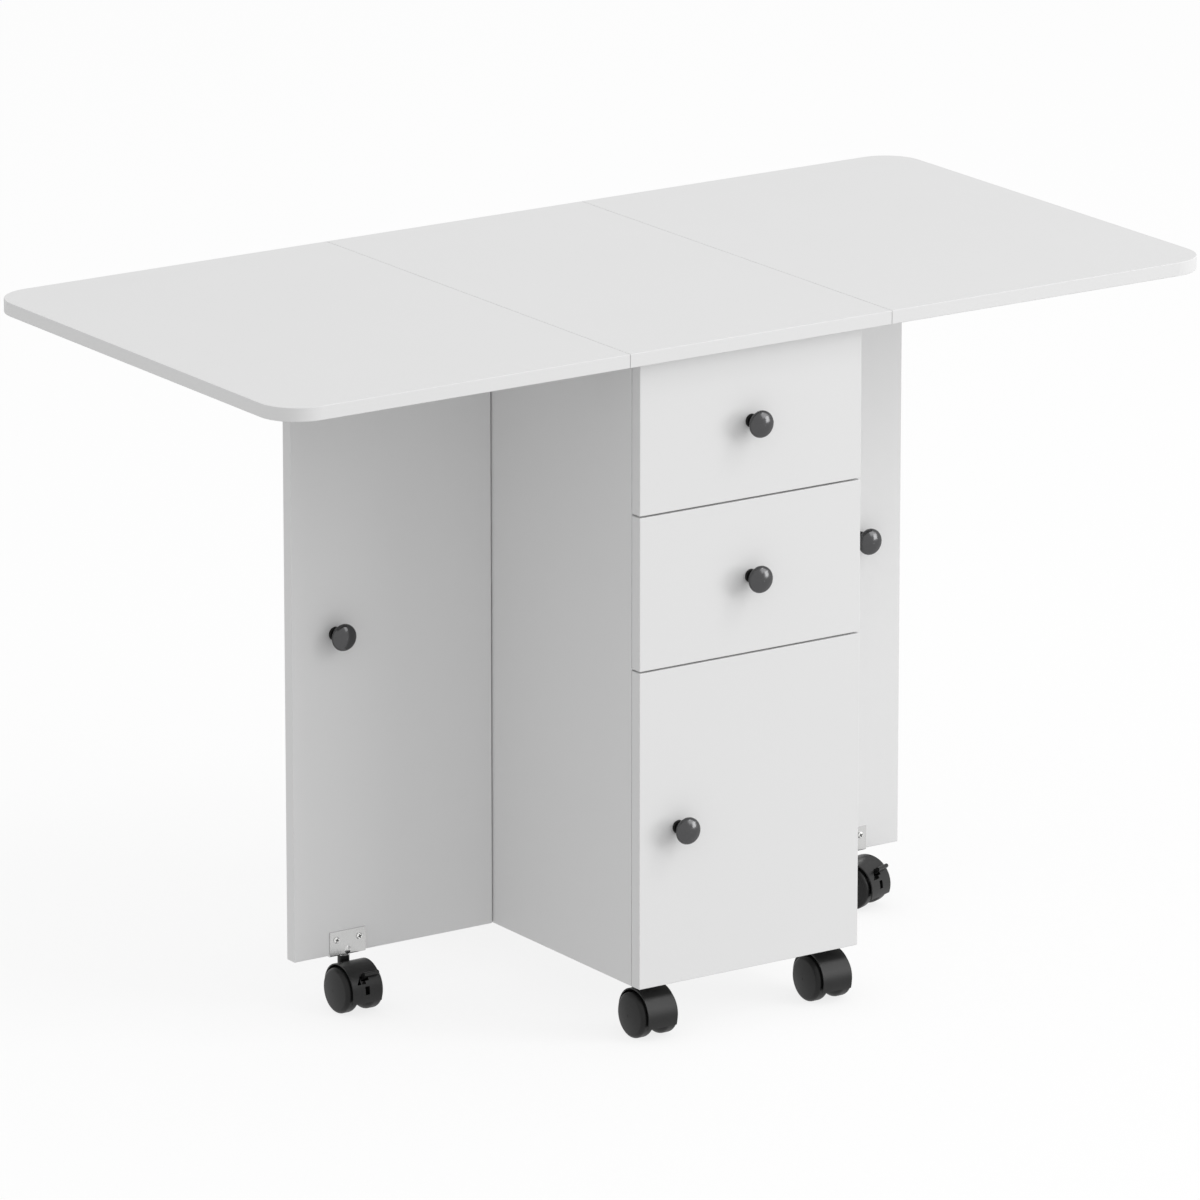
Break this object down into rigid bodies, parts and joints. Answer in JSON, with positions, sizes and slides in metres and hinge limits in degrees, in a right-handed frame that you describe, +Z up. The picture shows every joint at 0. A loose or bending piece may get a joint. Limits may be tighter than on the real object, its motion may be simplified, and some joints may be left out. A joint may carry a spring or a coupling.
{
  "type": "rolling drop-leaf table",
  "caption": "Narrow cabinet on casters with drawers and a door, under a long top whose hinged leaves rest on swing-out gate legs.",
  "frame": {"origin": "on the floor, under the middle of the table top", "axes": "+Z up, +X along the top towards the right-hand leaf, -Y towards the side with the drawers and the door"},
  "size_m": [1.18, 0.596, 0.763],
  "materials": {
    "white_board": "white melamine-faced particle board with matching edge band, satin",
    "white_sheet": "white-faced hardboard, satin",
    "gunmetal": "gunmetal lacquer on zinc, semi-gloss",
    "zinc_steel": "bright zinc-plated sheet and rod",
    "white_steel": "white epoxy-coated sheet",
    "black_plastic": "black moulded nylon, satin",
    "white_plastic": "white moulded nylon"
  },
  "bodies": {
    "cabinet": {"top_centre_panel": "white_board", "cabinet_side_left": "white_board", "cabinet_side_right": "white_board", "cabinet_back": "white_board", "cabinet_bottom": "white_board", "cabinet_divider": "white_board", "top_rails": "white_board", "cupboard_shelf": "white_board", "cabinet_runners": "white_steel", "hinge_plates_cabinet": "zinc_steel", "hinge_pins": "zinc_steel", "door_catch": "white_plastic", "caster_sockets": "zinc_steel"},
    "door": {"door_panel": "white_board", "door_knob": "gunmetal", "door_hinges_and_strike": "zinc_steel"},
    "drawer_upper": {"drawer_upper_front": "white_board", "drawer_upper_box": "white_board", "drawer_upper_bottom": "white_sheet", "drawer_upper_knob": "gunmetal", "drawer_upper_runners": "white_steel"},
    "drawer_lower": {"drawer_lower_front": "white_board", "drawer_lower_box": "white_board", "drawer_lower_bottom": "white_sheet", "drawer_lower_knob": "gunmetal", "drawer_lower_runners": "white_steel"},
    "leaf_left": {"leaf_left": "white_board", "leaf_hinge_plates_left": "zinc_steel"},
    "gate_leg_left": {"gate_leg_left": "white_board", "leg_knob_left": "gunmetal", "leg_bracket_left": "zinc_steel", "leg_glide_left": "white_plastic", "gate_hinge_plates_left": "zinc_steel"},
    "leaf_right": {"leaf_right": "white_board", "leaf_hinge_plates_right": "zinc_steel"},
    "gate_leg_right": {"gate_leg_right": "white_board", "leg_knob_right": "gunmetal", "leg_bracket_right": "zinc_steel", "leg_glide_right": "white_plastic", "gate_hinge_plates_right": "zinc_steel"},
    "caster_front_left": {"caster_front_left_hood": "black_plastic"},
    "caster_front_left_wheel_left": {"caster_front_left_wheel_left": "black_plastic"},
    "caster_front_left_wheel_right": {"caster_front_left_wheel_right": "black_plastic"},
    "caster_front_right": {"caster_front_right_hood": "black_plastic"},
    "caster_front_right_wheel_left": {"caster_front_right_wheel_left": "black_plastic"},
    "caster_front_right_wheel_right": {"caster_front_right_wheel_right": "black_plastic"},
    "caster_rear_left": {"caster_rear_left_hood": "black_plastic"},
    "caster_rear_left_wheel_left": {"caster_rear_left_wheel_left": "black_plastic"},
    "caster_rear_left_wheel_right": {"caster_rear_left_wheel_right": "black_plastic"},
    "caster_rear_right": {"caster_rear_right_hood": "black_plastic"},
    "caster_rear_right_wheel_left": {"caster_rear_right_wheel_left": "black_plastic"},
    "caster_rear_right_wheel_right": {"caster_rear_right_wheel_right": "black_plastic"},
    "caster_leg_left": {"caster_leg_left_hood": "black_plastic"},
    "caster_leg_left_wheel_left": {"caster_leg_left_wheel_left": "black_plastic"},
    "caster_leg_left_wheel_right": {"caster_leg_left_wheel_right": "black_plastic"},
    "brake_lever_left": {"brake_lever_left": "black_plastic"},
    "caster_leg_right": {"caster_leg_right_hood": "black_plastic"},
    "caster_leg_right_wheel_left": {"caster_leg_right_wheel_left": "black_plastic"},
    "caster_leg_right_wheel_right": {"caster_leg_right_wheel_right": "black_plastic"},
    "brake_lever_right": {"brake_lever_right": "black_plastic"}
  },
  "joints": [
    {"name": "drawer_upper_slide", "type": "slide", "parent": "cabinet", "child": "drawer_upper", "axis": [0, -1, 0], "range_m": [0, 0.3]},
    {"name": "drawer_lower_slide", "type": "slide", "parent": "cabinet", "child": "drawer_lower", "axis": [0, -1, 0], "range_m": [0, 0.3]},
    {"name": "door_hinge", "type": "hinge", "parent": "cabinet", "child": "door", "pos_m": [0.1435, -0.26, 0.2355], "axis": [0, 0, 1], "range_deg": [0, 170]},
    {"name": "leaf_left_hinge", "type": "hinge", "parent": "cabinet", "child": "leaf_left", "pos_m": [-0.16615, 0, 0.7455], "axis": [0, 1, 0], "range_deg": [0, 1.5]},
    {"name": "gate_leg_left_hinge", "type": "hinge", "parent": "cabinet", "child": "gate_leg_left", "pos_m": [-0.144, 0.0244, 0.401], "axis": [0, 0, -1], "range_deg": [0, 90]},
    {"name": "leaf_right_hinge", "type": "hinge", "parent": "cabinet", "child": "leaf_right", "pos_m": [0.16615, 0, 0.7455], "axis": [0, -1, 0], "range_deg": [0, 1.5]},
    {"name": "gate_leg_right_hinge", "type": "hinge", "parent": "cabinet", "child": "gate_leg_right", "pos_m": [0.144, 0.0244, 0.401], "axis": [0, 0, 1], "range_deg": [0, 90]},
    {"name": "caster_front_left_swivel", "type": "hinge", "parent": "cabinet", "child": "caster_front_left", "pos_m": [-0.113, -0.231, 0.061], "axis": [0, 0, 1], "continuous": true},
    {"name": "caster_front_left_wheel_left_spin", "type": "hinge", "parent": "caster_front_left", "child": "caster_front_left_wheel_left", "pos_m": [-0.113, -0.2505, 0.025], "axis": [1, 0, 0], "continuous": true},
    {"name": "caster_front_left_wheel_right_spin", "type": "hinge", "parent": "caster_front_left", "child": "caster_front_left_wheel_right", "pos_m": [-0.113, -0.2505, 0.025], "axis": [1, 0, 0], "continuous": true},
    {"name": "caster_front_right_swivel", "type": "hinge", "parent": "cabinet", "child": "caster_front_right", "pos_m": [0.113, -0.231, 0.061], "axis": [0, 0, 1], "continuous": true},
    {"name": "caster_front_right_wheel_left_spin", "type": "hinge", "parent": "caster_front_right", "child": "caster_front_right_wheel_left", "pos_m": [0.113, -0.2505, 0.025], "axis": [1, 0, 0], "continuous": true},
    {"name": "caster_front_right_wheel_right_spin", "type": "hinge", "parent": "caster_front_right", "child": "caster_front_right_wheel_right", "pos_m": [0.113, -0.2505, 0.025], "axis": [1, 0, 0], "continuous": true},
    {"name": "caster_rear_left_swivel", "type": "hinge", "parent": "cabinet", "child": "caster_rear_left", "pos_m": [-0.113, 0.2475, 0.061], "axis": [0, 0, 1], "continuous": true},
    {"name": "caster_rear_left_wheel_left_spin", "type": "hinge", "parent": "caster_rear_left", "child": "caster_rear_left_wheel_left", "pos_m": [-0.113, 0.228, 0.025], "axis": [1, 0, 0], "continuous": true},
    {"name": "caster_rear_left_wheel_right_spin", "type": "hinge", "parent": "caster_rear_left", "child": "caster_rear_left_wheel_right", "pos_m": [-0.113, 0.228, 0.025], "axis": [1, 0, 0], "continuous": true},
    {"name": "caster_rear_right_swivel", "type": "hinge", "parent": "cabinet", "child": "caster_rear_right", "pos_m": [0.113, 0.2475, 0.061], "axis": [0, 0, 1], "continuous": true},
    {"name": "caster_rear_right_wheel_left_spin", "type": "hinge", "parent": "caster_rear_right", "child": "caster_rear_right_wheel_left", "pos_m": [0.10325, 0.23061, 0.025], "axis": [0.866, -0.5, 0], "continuous": true},
    {"name": "caster_rear_right_wheel_right_spin", "type": "hinge", "parent": "caster_rear_right", "child": "caster_rear_right_wheel_right", "pos_m": [0.10325, 0.23061, 0.025], "axis": [0.866, -0.5, 0], "continuous": true},
    {"name": "caster_leg_left_swivel", "type": "hinge", "parent": "gate_leg_left", "child": "caster_leg_left", "pos_m": [-0.328, 0.0139, 0.061], "axis": [0, 0, 1], "continuous": true},
    {"name": "caster_leg_left_wheel_left_spin", "type": "hinge", "parent": "caster_leg_left", "child": "caster_leg_left_wheel_left", "pos_m": [-0.328, -0.0056, 0.025], "axis": [1, 0, 0], "continuous": true},
    {"name": "caster_leg_left_wheel_right_spin", "type": "hinge", "parent": "caster_leg_left", "child": "caster_leg_left_wheel_right", "pos_m": [-0.328, -0.0056, 0.025], "axis": [1, 0, 0], "continuous": true},
    {"name": "brake_lever_left_pivot", "type": "hinge", "parent": "caster_leg_left", "child": "brake_lever_left", "pos_m": [-0.328, -0.02176, 0.03856], "axis": [1, 0, 0], "range_deg": [0, 18]},
    {"name": "caster_leg_right_swivel", "type": "hinge", "parent": "gate_leg_right", "child": "caster_leg_right", "pos_m": [0.328, 0.0139, 0.061], "axis": [0, 0, 1], "continuous": true},
    {"name": "caster_leg_right_wheel_left_spin", "type": "hinge", "parent": "caster_leg_right", "child": "caster_leg_right_wheel_left", "pos_m": [0.33531, -0.00418, 0.025], "axis": [0.9272, 0.3746, 0], "continuous": true},
    {"name": "caster_leg_right_wheel_right_spin", "type": "hinge", "parent": "caster_leg_right", "child": "caster_leg_right_wheel_right", "pos_m": [0.33531, -0.00418, 0.025], "axis": [0.9272, 0.3746, 0], "continuous": true},
    {"name": "brake_lever_right_pivot", "type": "hinge", "parent": "caster_leg_right", "child": "brake_lever_right", "pos_m": [0.34136, -0.01917, 0.03856], "axis": [0.9272, 0.3746, 0], "range_deg": [0, 18]}
  ]
}
